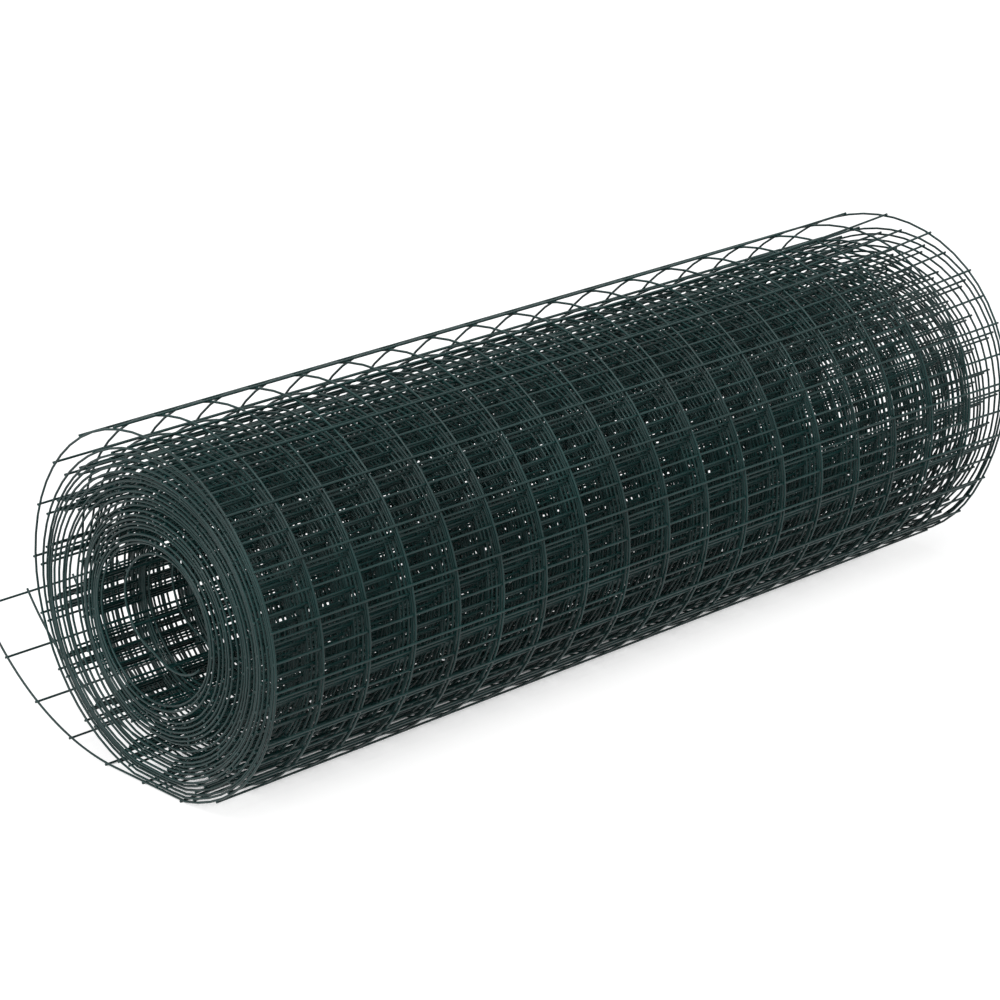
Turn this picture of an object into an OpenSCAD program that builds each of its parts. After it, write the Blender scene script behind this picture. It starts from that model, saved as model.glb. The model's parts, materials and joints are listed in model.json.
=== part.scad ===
// Roll of coated welded wire mesh, lying on its side, with its free end sprung off the roll.
// Millimetres. X runs along the axis of the roll, Z is up, and the origin is the middle of the bore.

/* [Mesh] */
// Spacing of the line wires and of the cross wires
mesh = 50; // [46:1:51]
// Number of mesh squares across the width of the roll
cells_wide = 18; // [10:1:20]
// Thickness of a wire over its coating
wire_d = 2.1; // [2.1:0.1:2.5]

/* [Roll] */
// Diameter over the cross wires of the outermost turn
roll_d = 310; // [306:1:312]
// Diameter of the clear bore
bore_d = 120; // [100:1:130]
// Number of turns wound round the bore
turns = 22; // [10:1:22]
// Depth to which the gaps between the turns are open at each end
gap_depth = 12; // [4:1:24]

/* [Free end] */
// Number of cross wires on the stretch that stands off the roll
tail_cells = 5; // [3:1:5]
// Radius to which that stretch is sprung
tail_bend_r = 280; // [270:5:320]
// Sideways distance from the bore's axis to the lowest point of that stretch
tail_foot_y = 35; // [30:1:38]
// Clearance under that stretch at its lowest point
tail_clear = 4; // [3.5:0.5:5]

/* [Hidden] */

roll_w = mesh * cells_wide;
overall_w = roll_w + wire_d;

// A wire has few sides, a flat one of them towards each wire that it is welded to
wire_sides = 8;
side_turn = 180 / wire_sides;
flat_r = wire_d / 2 * cos(side_turn);
weld = 0.03 * wire_d;
layer_step = 2 * flat_r - weld;

// The outermost turn: cross wires, of which the roll stands on two, over line wires, over the turns inside
cross_count = ceil(PI * roll_d / mesh);
half_step = 180 / cross_count;
cross_r = roll_d / 2 - flat_r;
line_r = cross_r - layer_step;
line_lap = wire_d / line_r * 180 / PI;
floor_z = -cross_r * cos(half_step) - wire_d / 2 * cos(side_turn - half_step);

// The turns inside it, from the bore out
bore_r = bore_d / 2;
inside_r = line_r - flat_r + weld;
inside_turns = turns - 1;
turn_pitch = (inside_r - bore_r - wire_d) / (inside_turns - 1);

// The free end: a stretch of mesh on an arc whose lowest point is just above the floor
tail_axis_z = floor_z + tail_clear + layer_step + tail_bend_r;
tail_step = mesh / tail_bend_r * 180 / PI;
tail_first = 0.6 * tail_step;
tail_last = tail_first + (tail_cells - 1) * tail_step;
tail_root = -0.6 * tail_step;

function line_x(i) = (i - cells_wide / 2) * mesh;

module wire_section() {
    rotate(side_turn)
        circle(d = wire_d, $fn = wire_sides);
}

// Half section of one turn inside the roll, with a rounded edge wire at each end
module inside_turn_section() {
    translate([0, -roll_w / 2])
        square([wire_d, roll_w]);
    for (end = [-1, 1])
        translate([wire_d / 2, end * roll_w / 2])
            circle(d = wire_d, $fn = 32);
}

// Half section of all the turns inside the roll, with a plain middle between the gaps of the two ends
module inside_section() {
    translate([bore_r, gap_depth - overall_w / 2])
        square([inside_r - bore_r, overall_w - 2 * gap_depth]);
    for (turn = [0 : inside_turns - 1])
        translate([bore_r + turn * turn_pitch, 0])
            inside_turn_section();
}

module inside_turns_solid() {
    rotate([0, 90, 0])
        rotate_extrude($fn = 180)
            inside_section();
}

// A line wire of the outermost turn stops short in the one square from which the free end springs
module outer_line_wire() {
    rotate([0, 0, 3 * half_step - line_lap])
        rotate_extrude(angle = 360 - 2 * (half_step - line_lap), $fn = 180)
            translate([line_r, 0])
                wire_section();
}

module outer_line_wires() {
    rotate([0, 90, 0])
        for (i = [0 : cells_wide])
            translate([0, 0, line_x(i)])
                outer_line_wire();
}

module cross_wire() {
    linear_extrude(overall_w, center = true)
        wire_section();
}

module outer_cross_wires() {
    rotate([0, 90, 0])
        for (i = [0 : cross_count - 1])
            rotate([0, 0, (2 * i + 1) * half_step])
                translate([cross_r, 0, 0])
                    cross_wire();
}

module tail_line_wire() {
    rotate([0, 0, tail_root])
        rotate_extrude(angle = tail_last - tail_root, $fn = 180)
            translate([tail_bend_r, 0])
                wire_section();
}

module free_end() {
    translate([0, tail_foot_y, tail_axis_z])
        rotate([0, 90, 0]) {
            for (i = [0 : cells_wide])
                translate([0, 0, line_x(i)])
                    tail_line_wire();
            for (k = [0 : tail_cells - 1])
                rotate([0, 0, tail_first + k * tail_step])
                    translate([tail_bend_r + layer_step, 0, 0])
                        cross_wire();
        }
}

module mesh_roll() {
    color("darkslategray") {
        inside_turns_solid();
        outer_line_wires();
        outer_cross_wires();
        free_end();
    }
}

mesh_roll();
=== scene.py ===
import json
import math

import bpy
import numpy as np
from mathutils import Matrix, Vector


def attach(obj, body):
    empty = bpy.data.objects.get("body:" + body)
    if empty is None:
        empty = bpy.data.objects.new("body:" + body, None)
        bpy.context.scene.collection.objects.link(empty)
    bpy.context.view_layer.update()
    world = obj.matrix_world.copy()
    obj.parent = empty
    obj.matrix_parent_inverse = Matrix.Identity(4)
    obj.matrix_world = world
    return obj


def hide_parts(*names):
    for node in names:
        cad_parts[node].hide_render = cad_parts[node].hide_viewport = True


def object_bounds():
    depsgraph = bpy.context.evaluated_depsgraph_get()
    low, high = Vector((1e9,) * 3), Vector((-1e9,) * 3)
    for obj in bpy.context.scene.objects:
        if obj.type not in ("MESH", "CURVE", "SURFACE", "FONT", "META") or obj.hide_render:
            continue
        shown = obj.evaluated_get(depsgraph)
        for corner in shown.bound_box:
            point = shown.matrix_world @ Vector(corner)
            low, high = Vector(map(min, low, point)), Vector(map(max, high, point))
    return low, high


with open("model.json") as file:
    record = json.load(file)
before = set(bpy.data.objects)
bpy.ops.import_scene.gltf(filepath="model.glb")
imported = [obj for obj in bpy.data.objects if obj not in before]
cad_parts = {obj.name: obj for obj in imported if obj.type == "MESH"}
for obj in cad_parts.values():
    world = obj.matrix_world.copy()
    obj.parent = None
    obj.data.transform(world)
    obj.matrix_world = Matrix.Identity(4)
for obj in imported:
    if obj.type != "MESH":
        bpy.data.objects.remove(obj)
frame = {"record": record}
cad_low, cad_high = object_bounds()

# A roll of coated welded wire mesh: every line wire, cross wire and weld of the wound strip.
# Metres and turns. The roll's axis is X. A turn starts on the +Y side and climbs over the top towards -Y.

NODE = "mesh_roll"
SLOT = "green_coated_wire"

# The mesh: its squares, its wire, how far the cross wires lie outside the line wires,
# and the length of line wire past the last cross wire
MESH = 0.050
WIRE_D = 0.0021
WIRE_R = WIRE_D / 2
LAYER = 0.8 * WIRE_D
CELLS_WIDE = round((cad_high.x - cad_low.x) / MESH)
ROLL_W = CELLS_WIDE * MESH
STUB = 0.003

# The bead of coating at a weld: its half width and half thickness
BEAD_WIDE = 0.64 * WIRE_D
BEAD_THICK = 0.66 * WIRE_D

# The roll, from the frame
BORE_R = frame["record"]["mounts"][0]["dims"]["r_mm"] / 1000
ROLL_R = cad_high.z
FLOOR_Z = cad_low.z

# The winding: the turn at which it starts, and the turn at which the free end leaves it, under the axis
FIRST_TURN = 0.57
LAST_TURN = 22.75

# The innermost turn stands clear of the bore and sags
INNER_CLEAR = 0.006
INNER_SAG = 0.003

# The outermost turn is a little larger than the solid, wider than it is high, and pushed aside
OUTER_SPRING = 0.002
OUTER_WIDE = 0.0015
OUTER_ASIDE = 0.001

# The floor flattens a turn only where it faces the floor by at least this much
FACING_FLOOR = 0.5

# The turns lie closest together towards the outside of one flank, and loosest there on the other
CROWD = -0.05
CROWD_SWING = 0.30
CROWD_AT = 0.56

# The inner end droops across the bore
DROOP = 0.041
DROOP_TURN = 0.80
DROOP_BEFORE = 0.30
DROOP_AFTER = 0.58

# The outermost turn has sprung loose at the top
LOOSE = 0.0114
LOOSE_BACK = 0.58
LOOSE_TURN = LAST_TURN - LOOSE_BACK
LOOSE_SPAN = 0.26

# Pockets where the turns part: turn fraction, half width in turns, depth in the winding, opening
POCKETS = (
    (0.69, 0.09, 0.45, 0.0055),
    (0.66, 0.09, 0.15, 0.0040),
    (0.19, 0.12, 0.17, 0.0040),
    (0.63, 0.07, 0.86, 0.0045),
    (0.95, 0.14, 0.55, 0.0120),
)
POCKET_SHARP = 0.03
POCKET_REACH = 0.25

# Small unevenness of the winding, outwards and along the axis: height, waves per turn, phase
RIPPLES = ((0.00030, 1.37, 0.7), (0.00020, 2.61, 2.1))
SLIDES = ((0.0013, 0.21, 0.4), (0.0011, 0.083, 1.9))

# The ripples set in over the second turn and die away over the end of the last
RIPPLES_FROM = FIRST_TURN + 1
RIPPLES_FULL = FIRST_TURN + 2
RIPPLES_FADE = LAST_TURN - 0.3

# The far end of the outer turns is splayed
FLARE = 0.024
FLARE_FROM = 0.15
FLARE_DEPTH = 0.60
FLARE_AT = 0.375
FLARE_SPAN = 0.21

# The free end
TAIL_FLAT = 0.060
TAIL_BEND_R = 0.221

# How finely it is made
POINTS_PER_TURN = 56
TAIL_POINTS = 40
LINE_SIDES = 8
CROSS_SIDES = 8
BEAD_AROUND = 8
BEAD_BANDS = 4

# The coating: two tones in soft patches, an uneven gloss and a faint orange peel
TONE_DARK = (0.0022, 0.027, 0.0255, 1)
TONE_LIGHT = (0.0060, 0.046, 0.0435, 1)
TONE_DARK_TO = 0.32
TONE_LIGHT_FROM = 0.68
SPECULAR = 0.36
ROUGH_LOW = 0.28
ROUGH_HIGH = 0.44
PATCH_SCALE = 14.0
PATCH_DETAIL = 4.0
PEEL_SCALE = 900.0
PEEL_DETAIL = 2.0
PEEL_STRENGTH = 0.15
PEEL_DEPTH = 0.0002

# The studio: the rays that see its white, how white the floor is as it lights the roll and as it is seen,
# the glow that whitens it further where nothing stands over it and fades into a painted contact shadow at
# the roll's foot, and the light of the surroundings
SEEN_BY = ("Is Camera Ray", "Is Glossy Ray", "Is Transmission Ray")
PAPER = 0.65
PAPER_SEEN = 0.50
GLOW_SEEN = 0.85
GLOW_FROM = 0.05
GLOW_FULL = 0.11
GLOW_REACH = 2 * ROLL_R
WORLD_LIGHT = 0.13
WORLD_SEEN = 1.0
FLOOR_HALF = 12.0

# The camera, at the photograph's angle
AZIMUTH = math.radians(-43.81)
ELEVATION = math.radians(20.46)
DISTANCE = 3.262
AIM = Vector((-0.0100, 0.0485, -0.0200))
LENS_MM = 129.06
SENSOR_MM = 36


def hump(v):
    """A smooth hump: 1 at 0, and 0 from 1 on either side."""
    return 0.5 + 0.5 * np.cos(np.pi * np.clip(v, -1, 1))


def ramp(low, high, v):
    """A smooth step from 0 at low to 1 at high."""
    t = np.clip((v - low) / (high - low), 0, 1)
    return t * t * (3 - 2 * t)


def waves(table, turn):
    """A sum of slow waves along the winding."""
    return sum(height * np.sin(2 * np.pi * rate * turn + phase) for height, rate, phase in table)


def from_place(turn, place):
    """How many turns lie between a turn and the nearest turn at some place on the way round."""
    return (turn - place + 0.5) % 1.0 - 0.5


def pockets(turn, depth):
    """How far the turns are pushed apart round each pocket."""
    push = np.zeros_like(turn)
    for place, half_width, middle, opening in POCKETS:
        off = from_place(turn, place)
        v = depth - middle
        side = v / np.hypot(v, POCKET_SHARP) * np.exp(-np.abs(v) / POCKET_REACH)
        push += opening / 2 * np.exp(-(off / half_width) ** 2) * side
    return push


def wound_radius(turn):
    """Distance from the roll's axis to a line wire's middle."""
    angle = 2 * np.pi * turn
    depth = np.clip((turn - FIRST_TURN) / (LAST_TURN - FIRST_TURN), 0, 1)
    inner = BORE_R + INNER_CLEAR - INNER_SAG * np.sin(angle)
    outer = ROLL_R + OUTER_SPRING + OUTER_WIDE * np.cos(2 * angle) + OUTER_ASIDE * np.cos(angle)
    foot = (-FLOOR_Z - LAYER - WIRE_R) / np.maximum(-np.sin(angle), FACING_FLOOR)
    outer = np.minimum(outer, foot)
    crowd = CROWD + CROWD_SWING * np.cos(angle - 2 * np.pi * CROWD_AT)
    across = depth + crowd * depth * (1 - depth)
    radius = inner + (outer - inner) * across + pockets(turn, depth)
    rippled = ramp(RIPPLES_FROM, RIPPLES_FULL, turn) * (1 - ramp(RIPPLES_FADE, LAST_TURN, turn))
    radius += waves(RIPPLES, turn) * rippled
    radius += LOOSE * hump((turn - LOOSE_TURN) / LOOSE_SPAN)
    span = np.where(turn < DROOP_TURN, DROOP_BEFORE, DROOP_AFTER)
    radius -= DROOP * hump((turn - DROOP_TURN) / span)
    return np.minimum(radius, foot)


def wound_points(turn):
    """Y and Z of the wound stretch."""
    radius = wound_radius(turn)
    angle = 2 * np.pi * turn
    return np.stack([radius * np.cos(angle), radius * np.sin(angle)], -1)


def free_end_points(root):
    """Y and Z of the free end: flat on the floor for a little, then up on an arc, as far as the solid's."""
    rise = math.asin((cad_high.y - TAIL_FLAT) / TAIL_BEND_R)
    turned = rise * np.linspace(0, 1, TAIL_POINTS)
    y = root[0] + TAIL_FLAT + TAIL_BEND_R * np.sin(turned)
    z = root[1] + TAIL_BEND_R * (1 - np.cos(turned))
    return np.stack([y, z], -1)


class Strip:
    """The line wires' middle surface, as stations along the mesh from its inner end to its free end."""

    def __init__(self):
        count = int((LAST_TURN - FIRST_TURN) * POINTS_PER_TURN)
        wound_turn = np.linspace(FIRST_TURN, LAST_TURN, count)
        wound = wound_points(wound_turn)
        tail = free_end_points(wound[-1])
        self.point = np.concatenate([wound, tail])
        step = np.gradient(self.point, axis=0)
        along = step / np.linalg.norm(step, axis=1, keepdims=True)
        self.outward = np.stack([along[:, 1], -along[:, 0]], -1)
        gaps = np.linalg.norm(np.diff(self.point, axis=0), axis=1)
        self.length = np.concatenate([[0.0], np.cumsum(gaps)])
        turn = np.concatenate([wound_turn, np.full(len(tail), LAST_TURN)])
        self.slide = waves(SLIDES, turn)
        depth = (turn - FIRST_TURN) / (LAST_TURN - FIRST_TURN)
        self.flare = FLARE * ramp(FLARE_DEPTH, 1.0, depth) * hump(from_place(turn, FLARE_AT) / FLARE_SPAN)

    def at(self, length):
        """Point, outward direction, slide and flare at distances along the strip."""
        columns = np.column_stack([self.point, self.outward, self.slide, self.flare])
        got = np.stack([np.interp(length, self.length, c) for c in columns.T], -1)
        return got[:, 0:2], got[:, 2:4], got[:, 4], got[:, 5]


def splay(x):
    """How much of the flare a place along the roll has."""
    return np.clip((x - FLARE_FROM) / (ROLL_W / 2 - FLARE_FROM), 0, None) ** 2


def tube_faces(rings, sides):
    """Quads between the rings of one tube, and its two end caps."""
    start = np.arange(rings - 1)[:, None] * sides
    side = np.arange(sides)[None, :]
    a = start + side
    b = start + (side + 1) % sides
    quads = np.stack([a, b, b + sides, a + sides], -1).reshape(-1, 4)
    caps = [list(range(sides))[::-1], list(range((rings - 1) * sides, rings * sides))]
    return quads.tolist() + caps


def tube_points(path, normal, binormal, radius, sides):
    """Ring points round a path."""
    angle = 2 * np.pi * (np.arange(sides) + 0.5) / sides
    over = np.cos(angle)[None, :, None] * normal[:, None, :]
    aside = np.sin(angle)[None, :, None] * binormal[:, None, :]
    return (path[:, None, :] + radius * (over + aside)).reshape(-1, 3)


def joined_mesh(name, blocks):
    """One object from blocks of points and faces."""
    points, faces, first = [], [], 0
    for block_points, block_faces in blocks:
        points.append(block_points)
        faces += [[i + first for i in face] for face in block_faces]
        first += len(block_points)
    mesh = bpy.data.meshes.new(name)
    mesh.from_pydata(np.concatenate(points).tolist(), [], faces)
    mesh.polygons.foreach_set("use_smooth", [True] * len(mesh.polygons))
    mesh.update()
    obj = bpy.data.objects.new(name, mesh)
    bpy.context.scene.collection.objects.link(obj)
    return obj


def line_places():
    """Where the line wires lie along the roll."""
    return (np.arange(CELLS_WIDE + 1) - CELLS_WIDE / 2) * MESH


def line_wire(strip, x):
    """One line wire, wound from the inner end to the free end."""
    lie = strip.point + strip.outward * (strip.flare * splay(x))[:, None]
    path = np.column_stack([x + strip.slide, lie])
    normal = np.column_stack([np.zeros(len(lie)), strip.outward])
    binormal = np.tile([1.0, 0.0, 0.0], (len(lie), 1))
    points = tube_points(path, normal, binormal, WIRE_R, LINE_SIDES)
    return points, tube_faces(len(path), LINE_SIDES)


def cross_lengths(strip):
    """Distances along the strip at which the cross wires lie."""
    last = strip.length[-1] - STUB
    return last - MESH * np.arange(int(last // MESH) + 1)


def cross_wire(point, outward, slide, flare):
    """One cross wire, on the outside of the line wires."""
    x = np.concatenate([[-ROLL_W / 2 - WIRE_R], line_places(), [ROLL_W / 2 + WIRE_R]])
    lie = point[None, :] + outward[None, :] * (LAYER + flare * splay(x))[:, None]
    path = np.column_stack([x + slide, lie])
    normal = np.tile([0.0, outward[0], outward[1]], (len(x), 1))
    binormal = np.tile([0.0, outward[1], -outward[0]], (len(x), 1))
    points = tube_points(path, normal, binormal, WIRE_R, CROSS_SIDES)
    return points, tube_faces(len(path), CROSS_SIDES)


def bead_shape():
    """A small round bead of coating: points on a unit ball, and its faces."""
    points = [(0.0, 0.0, -1.0)]
    for band in range(1, BEAD_BANDS):
        lift = -math.pi / 2 + math.pi * band / BEAD_BANDS
        out = math.cos(lift)
        for k in range(BEAD_AROUND):
            turn = 2 * math.pi * k / BEAD_AROUND
            points.append((out * math.cos(turn), out * math.sin(turn), math.sin(lift)))
    points.append((0.0, 0.0, 1.0))
    top = len(points) - 1
    faces = []
    for k in range(BEAD_AROUND):
        n = (k + 1) % BEAD_AROUND
        faces.append([0, 1 + n, 1 + k])
        for band in range(BEAD_BANDS - 2):
            low = 1 + band * BEAD_AROUND
            high = low + BEAD_AROUND
            faces.append([low + k, low + n, high + n, high + k])
        last = 1 + (BEAD_BANDS - 2) * BEAD_AROUND
        faces.append([last + k, last + n, top])
    return np.array(points), faces


def weld_beads(strip, places):
    """The bead of coating at every crossing of some of the line wires."""
    shape, faces = bead_shape()
    point, outward, slide, flare = strip.at(cross_lengths(strip))
    for x in places:
        middle = point + outward * (LAYER / 2 + flare * splay(x))[:, None]
        for at, out, shift in zip(middle, outward, slide):
            along = np.array([out[1], -out[0]])
            local = np.empty_like(shape)
            local[:, 0] = x + shift + BEAD_WIDE * shape[:, 0]
            local[:, 1:] = at + BEAD_WIDE * shape[:, 1:2] * along + BEAD_THICK * shape[:, 2:3] * out
            yield local, faces


def noise(nodes, links, place, scale, detail):
    """A noise fixed to the object."""
    texture = nodes.new("ShaderNodeTexNoise")
    texture.inputs["Scale"].default_value = scale
    texture.inputs["Detail"].default_value = detail
    links.new(place.outputs["Object"], texture.inputs["Vector"])
    return texture.outputs["Fac"]


def coated_wire():
    """Dark green coating: a slightly uneven colour and gloss, a faint orange peel."""
    mat = bpy.data.materials.new(SLOT)
    mat.use_nodes = True
    nodes, links = mat.node_tree.nodes, mat.node_tree.links
    shader = nodes["Principled BSDF"]
    shader.inputs["Specular IOR Level"].default_value = SPECULAR
    place = nodes.new("ShaderNodeTexCoord")
    patches = noise(nodes, links, place, PATCH_SCALE, PATCH_DETAIL)
    tone = nodes.new("ShaderNodeValToRGB")
    dark, light = tone.color_ramp.elements
    dark.position = TONE_DARK_TO
    dark.color = TONE_DARK
    light.position = TONE_LIGHT_FROM
    light.color = TONE_LIGHT
    links.new(patches, tone.inputs["Fac"])
    links.new(tone.outputs["Color"], shader.inputs["Base Color"])
    gloss = nodes.new("ShaderNodeMapRange")
    gloss.inputs["To Min"].default_value = ROUGH_LOW
    gloss.inputs["To Max"].default_value = ROUGH_HIGH
    links.new(patches, gloss.inputs["Value"])
    links.new(gloss.outputs["Result"], shader.inputs["Roughness"])
    bump = nodes.new("ShaderNodeBump")
    bump.inputs["Strength"].default_value = PEEL_STRENGTH
    bump.inputs["Distance"].default_value = PEEL_DEPTH
    links.new(noise(nodes, links, place, PEEL_SCALE, PEEL_DETAIL), bump.inputs["Height"])
    links.new(bump.outputs["Normal"], shader.inputs["Normal"])
    return mat


def add_piece(name, blocks, material):
    """One piece of the roll, in place of the solid."""
    piece = joined_mesh(name, blocks)
    piece.data.materials.append(material)
    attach(piece, "root")
    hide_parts(NODE)


def add_roll():
    """The whole roll, in pieces of a handy size."""
    strip = Strip()
    coating = coated_wire()
    places = line_places()
    for name, some in zip(("near", "middle", "far"), np.array_split(places, 3)):
        add_piece("line_wires_" + name, [line_wire(strip, x) for x in some], coating)
    stations = zip(*strip.at(cross_lengths(strip)))
    add_piece("cross_wires", [cross_wire(*station) for station in stations], coating)
    half = len(places) // 2
    for name, some in (("near", places[:half]), ("far", places[half:])):
        add_piece("weld_beads_" + name, weld_beads(strip, some), coating)


def any_ray(nodes, links, kinds):
    """1 for a ray of one of some kinds, and 0 for any other."""
    ray = nodes.new("ShaderNodeLightPath")
    found = ray.outputs[kinds[0]]
    for kind in kinds[1:]:
        either = nodes.new("ShaderNodeMath")
        either.operation = "MAXIMUM"
        links.new(found, either.inputs[0])
        links.new(ray.outputs[kind], either.inputs[1])
        found = either.outputs[0]
    return found


def paper(nodes, white):
    """A plain pale surface."""
    surface = nodes.new("ShaderNodeBsdfDiffuse")
    surface.inputs["Color"].default_value = (white, white, white, 1)
    return surface.outputs["BSDF"]


def glow_with_painted_shadow(nodes, links):
    """A glow that dies away where the roll stands over the floor: a painted contact shadow, taken from the
    ambient occlusion.
    """
    openness = nodes.new("ShaderNodeAmbientOcclusion")
    openness.inputs["Distance"].default_value = GLOW_REACH
    # The glow fades with the occlusion, which paints the contact shadow round the roll's foot.
    fade = nodes.new("ShaderNodeMapRange")
    fade.inputs["From Min"].default_value = GLOW_FROM
    fade.inputs["From Max"].default_value = GLOW_FULL
    fade.inputs["To Max"].default_value = GLOW_SEEN
    links.new(openness.outputs["AO"], fade.inputs["Value"])
    glow = nodes.new("ShaderNodeEmission")
    links.new(fade.outputs["Result"], glow.inputs["Strength"])
    return glow.outputs["Emission"]


def floor_material():
    """White paper, seen and mirrored with a glow that leaves only a short shadow round the roll's foot:
    partly the paper's real shadow, partly painted where the glow fades.
    """
    mat = bpy.data.materials.new("floor_white")
    mat.use_nodes = True
    nodes, links = mat.node_tree.nodes, mat.node_tree.links
    nodes.clear()
    glowing = nodes.new("ShaderNodeAddShader")
    links.new(paper(nodes, PAPER_SEEN), glowing.inputs[0])
    links.new(glow_with_painted_shadow(nodes, links), glowing.inputs[1])
    choice = nodes.new("ShaderNodeMixShader")
    links.new(any_ray(nodes, links, SEEN_BY), choice.inputs["Fac"])
    links.new(paper(nodes, PAPER), choice.inputs[1])
    links.new(glowing.outputs["Shader"], choice.inputs[2])
    out = nodes.new("ShaderNodeOutputMaterial")
    links.new(choice.outputs["Shader"], out.inputs["Surface"])
    return mat


def add_floor():
    """A wide level floor at the foot of the roll."""
    corners = ((-1, -1), (1, -1), (1, 1), (-1, 1))
    mesh = bpy.data.meshes.new("floor")
    mesh.from_pydata([(FLOOR_HALF * x, FLOOR_HALF * y, FLOOR_Z) for x, y in corners], [], [(0, 1, 2, 3)])
    mesh.materials.append(floor_material())
    floor = bpy.data.objects.new("floor", mesh)
    bpy.context.scene.collection.objects.link(floor)


def add_world():
    """White surroundings, which light the roll less than they are seen and mirrored."""
    world = bpy.data.worlds.new("studio")
    bpy.context.scene.world = world
    world.use_nodes = True
    nodes, links = world.node_tree.nodes, world.node_tree.links
    back = nodes["Background"]
    back.inputs["Color"].default_value = (1, 1, 1, 1)
    level = nodes.new("ShaderNodeMapRange")
    level.inputs["To Min"].default_value = WORLD_LIGHT
    level.inputs["To Max"].default_value = WORLD_SEEN
    links.new(any_ray(nodes, links, SEEN_BY), level.inputs["Value"])
    links.new(level.outputs["Result"], back.inputs["Strength"])


def add_far_lamp(name, at, across_deg, strength):
    """A wide soft lamp so far away that it lights everything alike."""
    data = bpy.data.lights.new(name, "SUN")
    data.angle = math.radians(across_deg)
    data.energy = strength
    lamp = bpy.data.objects.new(name, data)
    lamp.location = at
    lamp.rotation_euler = Vector(at).to_track_quat("Z", "Y").to_euler()
    bpy.context.scene.collection.objects.link(lamp)


def add_camera():
    """The camera, looking at its aim from its azimuth and elevation."""
    level = math.cos(ELEVATION)
    back = Vector((math.sin(AZIMUTH) * level, -math.cos(AZIMUTH) * level, math.sin(ELEVATION)))
    data = bpy.data.cameras.new("camera")
    data.lens = LENS_MM
    data.sensor_width = SENSOR_MM
    camera = bpy.data.objects.new("camera", data)
    camera.location = AIM + back * DISTANCE
    camera.rotation_euler = back.to_track_quat("Z", "Y").to_euler()
    bpy.context.scene.collection.objects.link(camera)
    bpy.context.scene.camera = camera


add_roll()
add_floor()
add_world()
add_far_lamp("key", at=(-0.7, -0.75, 2.4), across_deg=48, strength=1.60)
add_far_lamp("side", at=(-2.0, -0.5, 1.0), across_deg=28, strength=0.60)
add_camera()
bpy.context.scene.view_settings.view_transform = "Standard"
